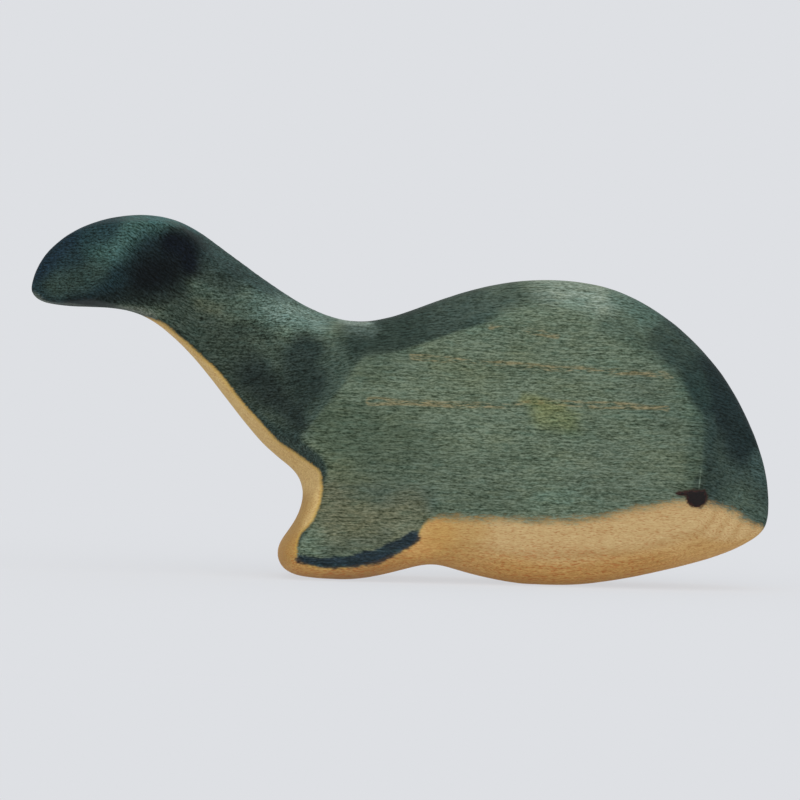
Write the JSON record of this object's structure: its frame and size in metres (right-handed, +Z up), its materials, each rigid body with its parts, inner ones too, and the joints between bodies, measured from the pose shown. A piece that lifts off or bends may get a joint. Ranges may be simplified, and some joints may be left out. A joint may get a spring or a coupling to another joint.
{
  "type": "toy whale figurine",
  "caption": "Whale carved from a board, with knife-cut facets, a hollowed tail stock, a small fin, a raised fluke and painted eyes, standing on flats on its belly and fin.",
  "frame": {"origin": "middle of the bounding box's underside, on the surface that the whale stands on", "axes": "+X from the tail to the snout, +Y to the whale's left, +Z up"},
  "size_m": [0.2, 0.0384, 0.0964],
  "materials": {
    "stained_wood": "matt thin stain over sanded beech, bare wood on the belly",
    "eye_paint": "opaque acrylic paint"
  },
  "bodies": {
    "root": {"body": "stained_wood", "eye_right": "eye_paint", "eye_left": "eye_paint"}
  },
  "joints": []
}
